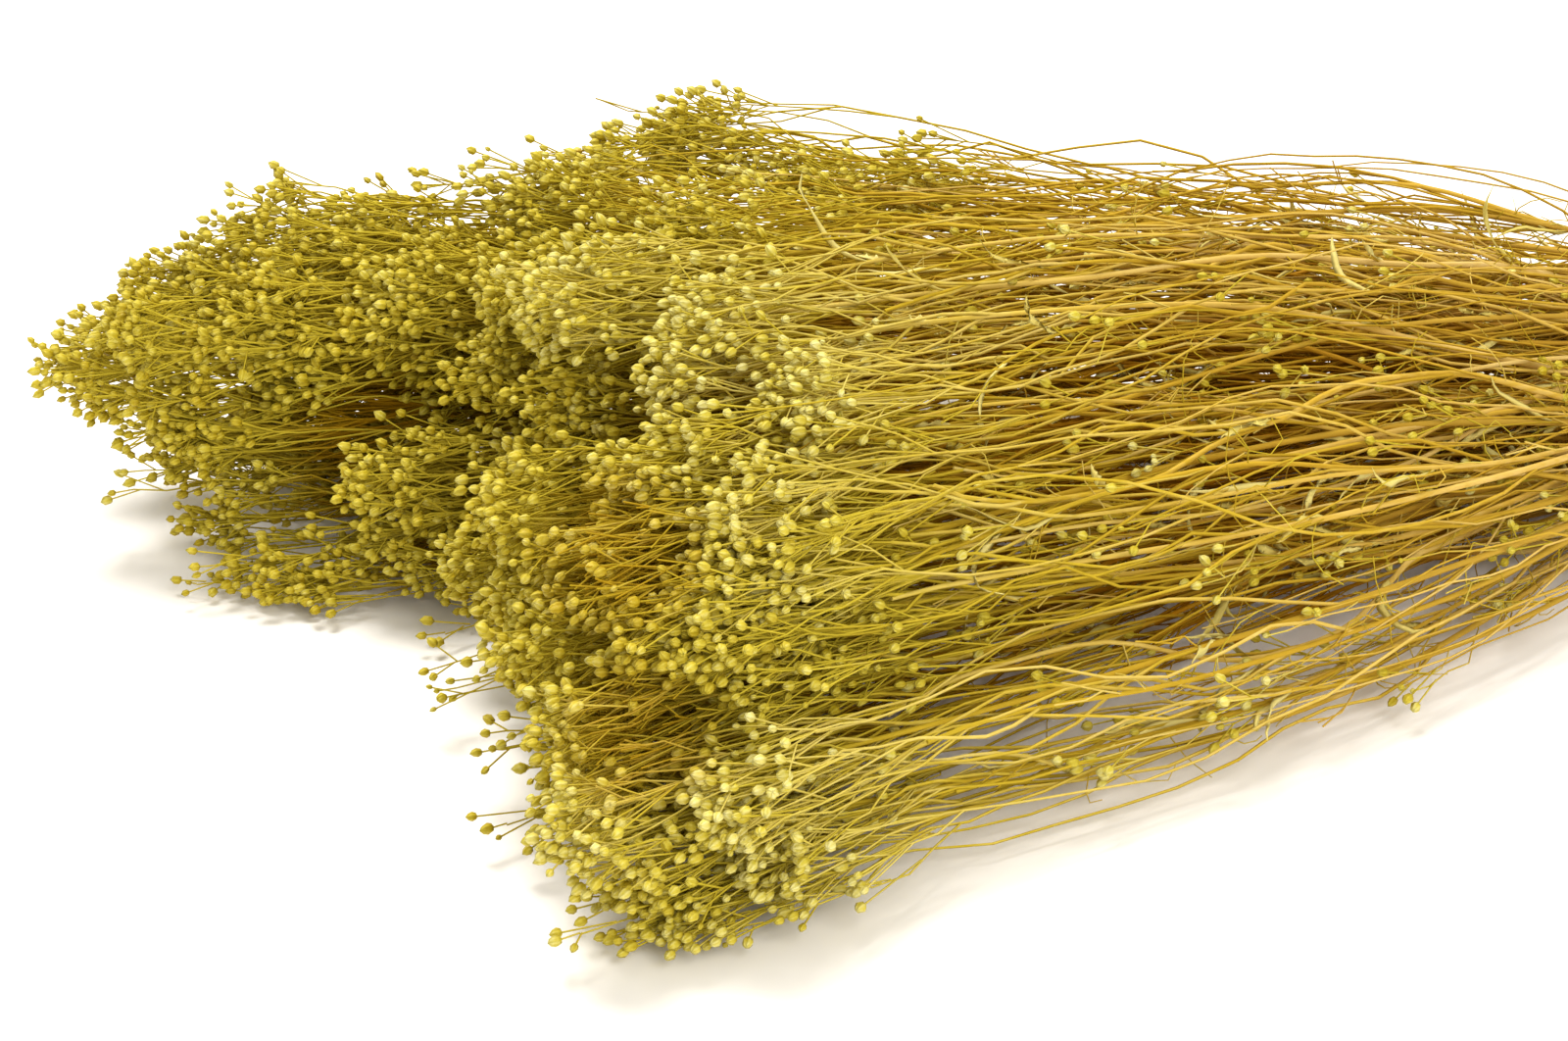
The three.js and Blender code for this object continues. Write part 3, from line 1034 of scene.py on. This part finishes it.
def finish_material(tree, colour, height, roughness, shine=0.5, relief=0.5, depth=RELIEF):
    inputs = {"Height": height, "Strength": relief, "Distance": depth}
    normal = add_node(tree, "ShaderNodeBump", inputs).outputs["Normal"]
    shader = tree.nodes["Principled BSDF"]
    tree.links.new(normal, shader.inputs["Normal"])
    tree.links.new(colour, shader.inputs["Base Color"])
    shader.inputs["Roughness"].default_value = roughness
    shader.inputs["Specular IOR Level"].default_value = shine


print("relief of the dry skin:", round(RELIEF / MM, 1), "mm")

# %% [markdown]
# A stem's colour is looked up twice along its tint, once as gold and once as pale straw. Streaks
# along the fibres, larger patches and the tone of the branch, which carries painted light and shade,
# add up to one number. Where it's low the gold is darker, partly the plant's own and partly painted
# shade, and where it's high the pale straw takes over: partly the straw's own paler streaks and
# partly a painted sheen in place of the gloss of the dry skin. Inside the bunch the colour is
# multiplied towards a deep gold, which is painted shade where the sprays shade each other.

# %% Stem material
PALE_STRAW_AND_SHEEN_RAMP = [
    (0.1, (0.66, 0.490, 0.215)),
    (0.5, (0.66, 0.490, 0.155)),
    (1.0, (0.68, 0.575, 0.195)),
]
STEM_RAMP = [
    (0.0, (0.72, 0.56, 0.26)),
    (0.12, (0.550, 0.355, 0.075)),
    (0.45, (0.545, 0.352, 0.038)),
    (0.75, (0.540, 0.397, 0.036)),
    (1.0, (0.565, 0.465, 0.050)),
]
SHADES = [(0.0, (0.62, 0.56, 0.26)), (0.56, (0.97, 0.94, 0.62)), (0.86, (1.12, 1.10, 1.0))]
PALE_AND_SHEEN_SHARE = [(0.5, (0, 0, 0)), (0.82, (0.85, 0.85, 0.85))]
INNER_SHADE = (0.72, 0.50, 0.06)
TINT_TO_RAMP = (0.9, 0.12)
STREAKS = 900
STREAK_STRETCH = (0.08, 1, 1)
PATCHES = 60


# Painted shade and painted sheen: the gold is made darker where the number is low and mixed to pale
# straw where it's high; the streaks and patches in that number are the plant's own.
def streaks_shade_and_sheen(tree, colour, pale, factor):
    darker = mixed(tree, "MULTIPLY", 1.0, colour, ramp(tree, factor, SHADES))
    return mixed(tree, "MIX", ramp(tree, factor, PALE_AND_SHEEN_SHARE), darker, pale)


# Painted shade inside the bunch: the colour is multiplied towards INNER_SHADE by the attribute
# "inside".
def painted_inner_shade(tree, colour):
    return mixed(tree, "MULTIPLY", attribute(tree, "inside"), colour, (*INNER_SHADE, 1))


def make_stem_material():
    material, tree = new_material("dried_stem")
    along = calculate(tree, "MULTIPLY_ADD", attribute(tree, "tint"), *TINT_TO_RAMP)
    colour = ramp(tree, along, STEM_RAMP)
    pale = ramp(tree, along, PALE_STRAW_AND_SHEEN_RAMP)
    streaks = noise(tree, STREAKS, stretch=STREAK_STRETCH)
    patches = noise(tree, PATCHES)
    light = weighed(tree, (streaks, 0.35), (patches, 0.2), (attribute(tree, "tone"), 0.45))
    skin = painted_inner_shade(tree, streaks_shade_and_sheen(tree, colour, pale, light))
    finish_material(tree, skin, streaks, roughness=0.7, shine=0.08, relief=0.4)
    return material


stem_material = make_stem_material()
print("material:", stem_material.name)

# %% [markdown]
# A bud is a dry round seed case with a small point. Its thin lobes meet in faint ribs that run
# from the stalk to the point, paler than the furrows between them. The ribs are drawn from the
# bud's own coordinates, which each bud carries in the attribute "local", so they turn with it.

# %% Bud material
BUD_RAMP = [
    (0.0, (0.27, 0.170, 0.005)),
    (0.25, (0.42, 0.308, 0.010)),
    (0.5, (0.55, 0.448, 0.042)),
    (0.75, (0.67, 0.600, 0.190)),
    (1.0, (0.78, 0.730, 0.370)),
]
BUD_RIBS = 5
MOTTLE = 1300


def make_bud_material():
    material, tree = new_material("dried_bud")
    local = attribute(tree, "local", "Vector")
    split = add_node(tree, "ShaderNodeSeparateXYZ", {"Vector": local})
    turn = calculate(tree, "ARCTAN2", split.outputs["Y"], split.outputs["X"])
    ribs = calculate(tree, "COSINE", calculate(tree, "MULTIPLY", turn, BUD_RIBS))
    mottle = noise(tree, MOTTLE, detail=3.0)
    tone = attribute(tree, "tone")
    # The tone carries the painted light and shade of the branch into the bud, and "inside" adds
    # painted shade below.
    light = weighed(tree, (tone, 0.55), (mottle, 0.4), (ribs, 0.07), (split.outputs["Z"], 0.12))
    skin = painted_inner_shade(tree, ramp(tree, light, BUD_RAMP))
    height = calculate(tree, "MULTIPLY_ADD", ribs, 0.5, mottle)
    finish_material(tree, skin, height, roughness=0.45, shine=0.15, relief=0.8)
    return material


bud_material = make_bud_material()
print("material:", bud_material.name)

# %% [markdown]
# The leaves are as dry as paper, and paler than the stalks. Fine veins run along them, so the noise
# that colours them and raises the veins is stretched that way.

# %% Leaf material
LEAF_RAMP = [
    (0.0, (0.56, 0.43, 0.060)),
    (0.5, (0.66, 0.55, 0.140)),
    (1.0, (0.74, 0.65, 0.240)),
]
VEINS = 700
VEIN_STRETCH = (0.15, 1, 1)


def make_leaf_material():
    material, tree = new_material("dried_leaf")
    veins = noise(tree, VEINS, stretch=VEIN_STRETCH)
    light = weighed(tree, (attribute(tree, "tone"), 0.5), (veins, 0.5))
    finish_material(tree, ramp(tree, light, LEAF_RAMP), veins, roughness=0.6)
    return material


leaf_material = make_leaf_material()
print("material:", leaf_material.name)

# %% [markdown]
# Geometry Nodes put flesh on the skeleton. Chains become tubes, thick ones with more sides than
# thin ones, and leaf chains become flat ribbons, folded along the middle and twisted as they
# dried. A chain is told from the others by its kind.

# %% Tubes and ribbons
LEAF_THICK = 0.16


def named(tree, name, data_type="FLOAT"):
    node = add_node(tree, "GeometryNodeInputNamedAttribute", {"Name": name}, data_type=data_type)
    return node.outputs["Attribute"]


def chains_of(tree, geometry, kind):
    pair = {2: named(tree, "kind", "INT"), 3: KINDS[kind]}
    same = add_node(tree, "FunctionNodeCompare", pair, data_type="INT", operation="EQUAL")
    inputs = {"Geometry": geometry, "Selection": same.outputs["Result"]}
    part = add_node(tree, "GeometryNodeSeparateGeometry", inputs, domain="POINT")
    curve = add_node(tree, "GeometryNodeMeshToCurve", {"Mesh": part.outputs["Selection"]})
    return curve.outputs["Curve"]


def swept(tree, curve, profile, material):
    inputs = {"Curve": curve, "Profile Curve": profile, "Scale": named(tree, "radius")}
    sweep = add_node(tree, "GeometryNodeCurveToMesh", {**inputs, "Fill Caps": True})
    return finished(tree, sweep.outputs["Mesh"], material)


def finished(tree, geometry, material):
    smooth = add_node(tree, "GeometryNodeSetShadeSmooth", {"Geometry": geometry})
    inputs = {"Geometry": smooth.outputs["Geometry"], "Material": material}
    return add_node(tree, "GeometryNodeSetMaterial", inputs).outputs["Geometry"]


def tube(tree, group, geometry, kind, sides_name):
    inputs = {"Resolution": group.outputs[sides_name], "Radius": 1}
    circle = add_node(tree, "GeometryNodeCurvePrimitiveCircle", inputs)
    return swept(tree, chains_of(tree, geometry, kind), circle.outputs["Curve"], stem_material)


def ribbon(tree, group, geometry):
    profile = add_node(tree, "GeometryNodeCurvePrimitiveQuadrilateral", mode="POINTS")
    for name, across in (("Point 1", 1), ("Point 3", -1)):
        inputs = {"X": across, "Y": group.outputs["Leaf fold"]}
        corner = add_node(tree, "ShaderNodeCombineXYZ", inputs)
        tree.links.new(corner.outputs["Vector"], profile.inputs[name])
    profile.inputs["Point 2"].default_value = (0, 0, 0)
    profile.inputs["Point 4"].default_value = (0, -LEAF_THICK, 0)
    inputs = {"Curve": chains_of(tree, geometry, "leaf"), "Tilt": named(tree, "twist")}
    tilt = add_node(tree, "GeometryNodeSetCurveTilt", inputs)
    return swept(tree, tilt.outputs["Curve"], profile.outputs["Curve"], leaf_material)


print("a leaf is", LEAF_THICK, "of its half width thick")

# %% [markdown]
# Every marked point gets a bud, turned the way its stalk points and spun by chance about it. A bud
# is a small ball, drawn out to a point at its end. It keeps its own coordinates for the ribs. Buds
# in front have more rings and sides than the far ones, which are too small in the picture for it.

# %% Buds
BUD_POINT = 0.35
BUD_POINTED = 6.0
BUD_SEAT = 0.9
BUD_LENGTHS = (0.92, 1.25)
LENGTH_SEED = 5
NEAR_RINGS = 4
FAR_RINGS = 3
CLOSE_STEMS = -25.0
CLOSE_SEGMENTS = 6


def random_value(tree, low, high, seed):
    inputs = {2: low, 3: high, "Seed": seed}
    node = add_node(tree, "FunctionNodeRandomValue", inputs, data_type="FLOAT")
    return node.outputs[1]


def bud_shape(tree, group):
    inputs = {"Segments": group.outputs["Bud segments"], "Rings": group.outputs["Bud rings"]}
    ball = add_node(tree, "GeometryNodeMeshUVSphere", {**inputs, "Radius": 1})
    position = add_node(tree, "GeometryNodeInputPosition").outputs["Position"]
    inputs = {"Geometry": ball.outputs["Mesh"], "Name": "local", "Value": position}
    keep = add_node(tree, "GeometryNodeStoreNamedAttribute", inputs, data_type="FLOAT_VECTOR")
    split = add_node(tree, "ShaderNodeSeparateXYZ", {"Vector": position})
    upper = calculate(tree, "MAXIMUM", split.outputs["Z"], 0.0)
    point = calculate(tree, "POWER", upper, BUD_POINTED)
    height = calculate(tree, "MULTIPLY_ADD", point, BUD_POINT, BUD_SEAT)
    raised = add_node(tree, "ShaderNodeCombineXYZ", {"Z": height})
    inputs = {"Geometry": keep.outputs["Geometry"], "Offset": raised.outputs["Vector"]}
    return add_node(tree, "GeometryNodeSetPosition", inputs).outputs["Geometry"]


def bud_turn(tree, group):
    aim = {"Vector": named(tree, "aim", "FLOAT_VECTOR")}
    turn = add_node(tree, "FunctionNodeAlignRotationToVector", aim, axis="Z")
    angle = random_value(tree, 0.0, 2 * math.pi, group.outputs["Seed"])
    spin = add_node(tree, "FunctionNodeAxisAngleToRotation", {"Angle": angle})
    inputs = {"Rotation": turn.outputs["Rotation"], "Rotate By": spin.outputs["Rotation"]}
    both = add_node(tree, "FunctionNodeRotateRotation", inputs, rotation_space="LOCAL")
    return both.outputs["Rotation"]


def bud_size(tree):
    width = named(tree, "bud")
    longer = random_value(tree, *BUD_LENGTHS, LENGTH_SEED)
    inputs = {"X": width, "Y": width, "Z": calculate(tree, "MULTIPLY", width, longer)}
    return add_node(tree, "ShaderNodeCombineXYZ", inputs).outputs["Vector"]


def buds(tree, group, geometry):
    marked = calculate(tree, "GREATER_THAN", named(tree, "bud"), 0.0)
    inputs = {"Mesh": geometry, "Selection": marked}
    points = add_node(tree, "GeometryNodeMeshToPoints", inputs)
    spread = add_node(tree, "GeometryNodeInstanceOnPoints", {
        "Points": points.outputs["Points"],
        "Instance": bud_shape(tree, group),
        "Rotation": bud_turn(tree, group),
        "Scale": bud_size(tree),
    })
    return finished(tree, spread.outputs["Instances"], bud_material)


print("a bud is", BUD_LENGTHS[0], "to", BUD_LENGTHS[1], "times as long as wide")

# %% [markdown]
# One tree serves all the sprays. Its named inputs are the few numbers that set how finely a spray
# is modelled and how far its leaves are folded, so they can be changed on the modifier without a
# look inside the tree.

# %% The whole tree
SIZES = {
    "Stalk sides": ("NodeSocketInt", 8),
    "Limb sides": ("NodeSocketInt", 5),
    "Branch sides": ("NodeSocketInt", 3),
    "Twig sides": ("NodeSocketInt", 3),
    "Bud segments": ("NodeSocketInt", 5),
    "Bud rings": ("NodeSocketInt", 4),
    "Leaf fold": ("NodeSocketFloat", 0.45),
    "Seed": ("NodeSocketInt", 0),
}


def make_spray_tree():
    tree = bpy.data.node_groups.new("dress_spray", "GeometryNodeTree")
    tree.interface.new_socket("Geometry", in_out="INPUT", socket_type="NodeSocketGeometry")
    tree.interface.new_socket("Geometry", in_out="OUTPUT", socket_type="NodeSocketGeometry")
    for name, (kind, value) in SIZES.items():
        socket = tree.interface.new_socket(name, in_out="INPUT", socket_type=kind)
        socket.default_value = value
    group = add_node(tree, "NodeGroupInput")
    geometry = group.outputs["Geometry"]
    join = add_node(tree, "GeometryNodeJoinGeometry")
    parts = [
        buds(tree, group, geometry),
        ribbon(tree, group, geometry),
        tube(tree, group, geometry, "twig", "Twig sides"),
        tube(tree, group, geometry, "branch", "Branch sides"),
        tube(tree, group, geometry, "limb", "Limb sides"),
        tube(tree, group, geometry, "stalk", "Stalk sides"),
    ]
    for part in parts:
        tree.links.new(part, join.inputs["Geometry"])
    real = add_node(tree, "GeometryNodeRealizeInstances", {"Geometry": join.outputs["Geometry"]})
    add_node(tree, "NodeGroupOutput", {"Geometry": real.outputs["Geometry"]})
    return tree


spray_tree = make_spray_tree()
print("nodes in the tree:", len(spray_tree.nodes))

# %% [markdown]
# Each skeleton becomes a mesh of points and edges that carries its values as attributes. The
# tree runs on it once, the result is kept as a plain mesh, and the modifier goes. The mesh then
# takes the place of its solid, which stays in the model for contact and weight.

# %% Dress every spray
def skeleton_object(name, skeleton):
    mesh = bpy.data.meshes.new(name)
    mesh.from_pydata(np.array(skeleton.points) * MM, skeleton.edges, [])
    for key, values in skeleton.values.items():
        whole = key == "kind"
        layer = mesh.attributes.new(key, "INT" if whole else "FLOAT", "POINT")
        scale = MM if key in ("radius", "bud") else 1
        layer.data.foreach_set("value", np.array(values, np.int32 if whole else float) * scale)
    layer = mesh.attributes.new("aim", "FLOAT_VECTOR", "POINT")
    layer.data.foreach_set("vector", np.array(skeleton.aims, float).ravel())
    return add_object(name, mesh)


def set_input(modifier, name, value):
    for item in modifier.node_group.interface.items_tree:
        if item.name == name and item.in_out == "INPUT":
            modifier[item.identifier] = value


def baked(source, name):
    graph = bpy.context.evaluated_depsgraph_get()
    mesh = bpy.data.meshes.new_from_object(source.evaluated_get(graph))
    mesh.name = name
    made = add_object(name, mesh)
    bpy.data.objects.remove(source)
    return made


def dress(stem, skeleton):
    node = f"spray_{stem['id'] + 1:02d}"
    source = skeleton_object(f"{node}_skeleton", skeleton)
    modifier = source.modifiers.new("dress", "NODES")
    modifier.node_group = spray_tree
    set_input(modifier, "Seed", stem["id"])
    set_input(modifier, "Bud rings", NEAR_RINGS if stem["across"] < 0 else FAR_RINGS)
    if stem["across"] < CLOSE_STEMS:
        set_input(modifier, "Bud segments", CLOSE_SEGMENTS)
    piece = baked(source, f"{node}_bloom")
    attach(piece, "root")
    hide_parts(node)
    return piece


def triangles(piece):
    return sum(len(polygon.vertices) - 2 for polygon in piece.data.polygons)


sprays = [dress(stem, skeleton) for stem, skeleton in zip(stems, skeletons)]
counts = [triangles(piece) for piece in sprays]
print("triangles a spray:", min(counts), "to", max(counts), "in all", sum(counts))

# %% [markdown]
# The band is one long rubber band, wound three times round the stalks from one edge of the tie to
# the other. It lies as a string lies that is pulled tight round the stalks, so its outline is
# the hull of their places, moved outwards, with a round corner at each outer stalk.

# %% The outline of the tie
STRAIGHT = 1e-6


def hull(points):
    def half(ordered):
        chain = []
        for p in ordered:
            while len(chain) > 1 and turn_of(chain[-2], chain[-1], p) <= STRAIGHT:
                chain.pop()
            chain.append(p)
        return chain[:-1]

    def turn_of(o, a, b):
        return (a[0] - o[0]) * (b[1] - o[1]) - (a[1] - o[1]) * (b[0] - o[0])

    points = sorted(points)
    return half(points) + half(points[::-1])


def ring_round(corners, away):
    points = []
    faces = []
    for i, corner in enumerate(corners):
        before = np.subtract(corner, corners[i - 1])
        after = np.subtract(corners[(i + 1) % len(corners)], corner)
        first = math.atan2(-before[0], before[1])
        turn = (math.atan2(-after[0], after[1]) - first) % (2 * math.pi)
        for share in (0, 0.5, 1):
            face = unit(first + turn * share)
            points.append(np.array(corner) + away * face)
            faces.append(face)
    return np.array(points), np.array(faces)


def along_ring(points, faces, share):
    closed = np.vstack([points, points[:1]])
    whole = np.vstack([faces, faces[:1]])
    length = np.concatenate([[0], np.cumsum(np.linalg.norm(np.diff(closed, axis=0), axis=1))])
    at = (share % 1) * length[-1]
    place = np.stack([np.interp(at, length, closed[:, k]) for k in range(2)], axis=1)
    face = np.stack([np.interp(at, length, whole[:, k]) for k in range(2)], axis=1)
    return place, face / np.linalg.norm(face, axis=1, keepdims=True)


tie_corners = hull([(stem["y"], stem["z"]) for stem in stems])
print("stalks that the band turns round:", len(tie_corners))

# %% [markdown]
# The path winds on round that outline while it moves from one edge of the tie to the other. At its
# end the band crosses back over the other turns to where it began, because a rubber band has no
# ends, and there it's lifted by its own thickness.

# %% The path of the band
BAND_WIDE = 2.1
BAND_THICK = 1.1
BAND_REACH = 6.4
BAND_TURNS = 3
BAND_CROSS = 0.3
BAND_EASE = 0.09
BAND_CLEAR = 0.05
BAND_STEPS = 168
BAND_SIDE = 0.62


def eased(t):
    t = np.clip(t, 0, 1)
    return t * t * (3 - 2 * t)


def wind():
    turns = BAND_TURNS * np.arange(BAND_STEPS) / BAND_STEPS
    points, faces = ring_round(tie_corners, STALK + GAP + BAND_THICK / 2)
    place, face = along_ring(points, faces, turns + BAND_SIDE)
    run = BAND_TURNS - BAND_CROSS
    back = eased((turns - run) / BAND_CROSS)
    x = BAND_REACH * (np.minimum(turns / run, 1) - 0.5 - back)
    to_end = (turns + BAND_EASE) % BAND_TURNS - BAND_EASE
    down = 1 - eased((to_end + BAND_EASE) / BAND_EASE)
    lift = np.where(turns > run - BAND_EASE, eased((turns - run + BAND_EASE) / BAND_EASE), 0)
    lift = np.where(to_end < 0, down, lift) * (BAND_THICK + BAND_CLEAR)
    return x, place + face * lift[:, None], face


band_path = wind()
print("steps along the band:", len(band_path[0]))

# %% [markdown]
# The band is a plain tan one. Its section is a small rectangle with rounded corners, which is laid
# along the path step by step, and its skin is dull rubber with a fine grain.

# %% Rubber and the band itself
BAND_CORNER = 0.35
BAND_RAMP = [(0.3, (0.36, 0.19, 0.055)), (0.7, (0.50, 0.29, 0.10))]
GRAIN = 500


def band_section():
    across = BAND_WIDE / 2 - BAND_CORNER
    up = BAND_THICK / 2 - BAND_CORNER
    section = []
    for k in range(4):
        side = (1 if k in (0, 3) else -1, 1 if k < 2 else -1)
        for part in (0, 1, 2):
            corner = unit(math.pi / 2 * k + math.pi / 4 * part)
            section.append((side[0] * across + BAND_CORNER * corner[0],
                            side[1] * up + BAND_CORNER * corner[1]))
    return np.array(section)


def make_band_material():
    material, tree = new_material("tan_rubber")
    grain = noise(tree, GRAIN)
    colour = ramp(tree, grain, BAND_RAMP)
    finish_material(tree, colour, grain, roughness=0.55, relief=0.25, depth=RELIEF / 2)
    return material


def make_band():
    x, place, face = band_path
    section = band_section()
    points = np.zeros((BAND_STEPS, len(section), 3))
    points[:, :, 0] = x[:, None] + section[:, 0]
    points[:, :, 1:] = place[:, None] + face[:, None] * section[:, 1][:, None]
    count = len(section)
    quads = []
    for i in range(BAND_STEPS):
        j = (i + 1) % BAND_STEPS
        for k in range(count):
            m = (k + 1) % count
            quads.append((i * count + k, i * count + m, j * count + m, j * count + k))
    mesh = bpy.data.meshes.new("tie_band_wound")
    mesh.from_pydata(points.reshape(-1, 3) * MM, [], quads)
    mesh.materials.append(make_band_material())
    mesh.shade_smooth()
    piece = add_object("tie_band_wound", mesh)
    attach(piece, "root")
    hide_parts("tie_band")
    return piece


band = make_band()
print("triangles of the band:", triangles(band))
